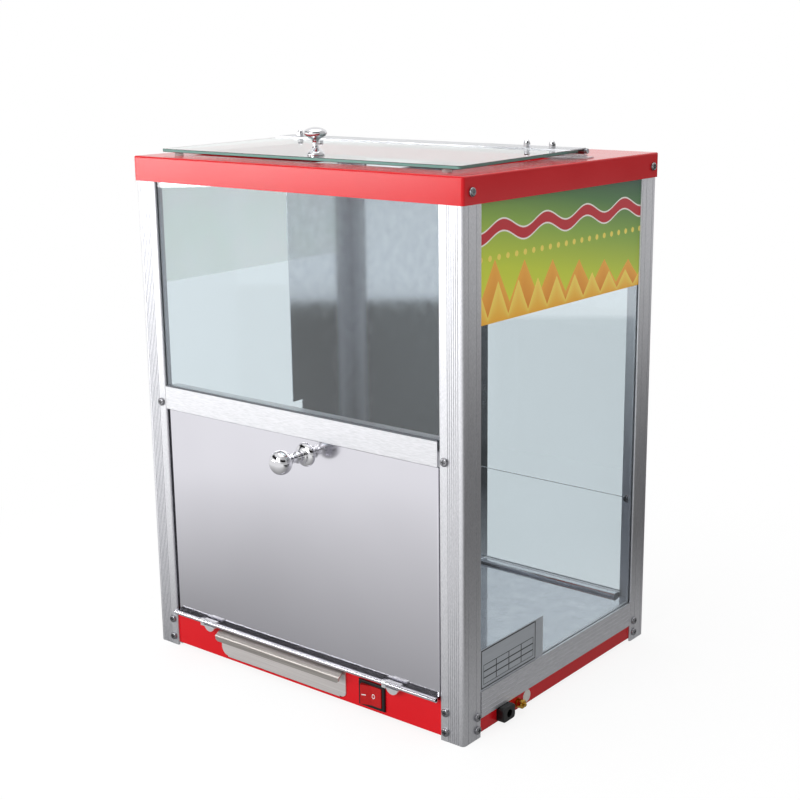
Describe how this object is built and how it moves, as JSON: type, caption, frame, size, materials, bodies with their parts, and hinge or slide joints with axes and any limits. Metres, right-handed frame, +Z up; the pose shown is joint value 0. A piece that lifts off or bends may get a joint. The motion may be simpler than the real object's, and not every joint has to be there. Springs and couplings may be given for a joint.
{
  "type": "chip warmer",
  "caption": "Countertop chip warmer: glass-walled cabinet on slotted aluminium posts, red steel cap and base, hinged glass lid, drop-down mirror door, crumb tray and rocker switch.",
  "frame": {"origin": "on the counter, midway between the four corner posts", "axes": "+Z up, front (door, switch) faces -Y, +X is the right-hand side with the cord entry"},
  "size_m": [0.4048, 0.3566, 0.5315],
  "materials": {
    "anodised_aluminium": "satin",
    "red_enamel": "gloss",
    "galvanised_steel": "matte",
    "polished_steel": "polished",
    "mirror_steel": "mirror",
    "clear_glass": "clear",
    "green_edged_glass": "clear",
    "clear_rubber": "satin",
    "chrome": "polished",
    "zinc_steel": "bright zinc",
    "brushed_steel": "brushed",
    "satin_steel": "satin",
    "black_plastic": "satin",
    "dark_plastic": "matte",
    "red_plastic": "gloss",
    "white_plastic": "matte",
    "wire_insulation": "matte",
    "brass": "bright",
    "heater_steel": "heat-dulled",
    "white_film": "satin",
    "printed_film": "gloss",
    "silver_film": "satin"
  },
  "bodies": {
    "cabinet": {"post_front_left": "anodised_aluminium", "post_front_right": "anodised_aluminium", "post_rear_left": "anodised_aluminium", "post_rear_right": "anodised_aluminium", "mid_rail": "anodised_aluminium", "side_rail_left": "anodised_aluminium", "side_rail_right": "anodised_aluminium", "rear_rail": "anodised_aluminium", "top_cap": "red_enamel", "base_front_panel": "red_enamel", "base_rear_panel": "red_enamel", "base_left_panel": "red_enamel", "base_right_panel": "red_enamel", "bottom_plate": "galvanised_steel", "floor_pan": "polished_steel", "divider": "polished_steel", "front_glass": "clear_glass", "left_glass": "clear_glass", "right_glass": "clear_glass", "rear_glass_upper": "clear_glass", "rear_glass_lower": "clear_glass", "front_glass_bead": "clear_rubber", "door_hinge_brackets": "polished_steel", "door_magnet": "black_plastic", "lid_hinge_fixed_leaf": "brushed_steel", "lid_hinge_pin": "zinc_steel", "lid_hinge_rivets": "zinc_steel", "lid_bumpers": "clear_rubber", "tray_runners": "galvanised_steel", "switch_body": "black_plastic", "switch_terminals": "brass", "cord_gland": "black_plastic", "earth_terminal": "brass", "earth_disc": "white_film", "heater": "heater_steel", "heater_clamps": "galvanised_steel", "thermostat": "dark_plastic", "terminal_block": "white_plastic", "wiring": "wire_insulation", "post_screws": "chrome", "cap_screws": "chrome", "sticker_left": "printed_film", "sticker_right": "printed_film", "rating_plate": "silver_film"},
    "lid": {"lid_glass": "green_edged_glass", "lid_hinge_moving_leaf": "brushed_steel", "lid_hinge_nuts": "chrome", "lid_hinge_bolts": "zinc_steel", "lid_knob": "chrome", "lid_knob_screw": "zinc_steel"},
    "door": {"door_panel": "mirror_steel", "door_knob": "chrome", "door_knob_screw": "zinc_steel", "door_hinge_clips": "polished_steel", "door_hinge_pins": "zinc_steel", "door_strike": "zinc_steel"},
    "tray": {"crumb_tray": "satin_steel", "tray_pull": "brushed_steel"},
    "rocker": {"switch_rocker": "red_plastic"}
  },
  "joints": [
    {"name": "lid_hinge", "type": "hinge", "parent": "cabinet", "child": "lid", "pos_m": [0, 0.049, 0.507], "axis": [-1, 0, 0], "range_deg": [0, 165]},
    {"name": "door_hinge", "type": "hinge", "parent": "cabinet", "child": "door", "pos_m": [0, -0.1602, 0.0387], "axis": [1, 0, 0], "range_deg": [0, 90]},
    {"name": "tray_slide", "type": "slide", "parent": "cabinet", "child": "tray", "axis": [0, -1, 0], "range_m": [0, 0.13]},
    {"name": "switch_rocker_pivot", "type": "hinge", "parent": "cabinet", "child": "rocker", "pos_m": [0.0906, -0.15459, 0.0192], "axis": [0, 0, -1], "range_deg": [0, 18]}
  ]
}
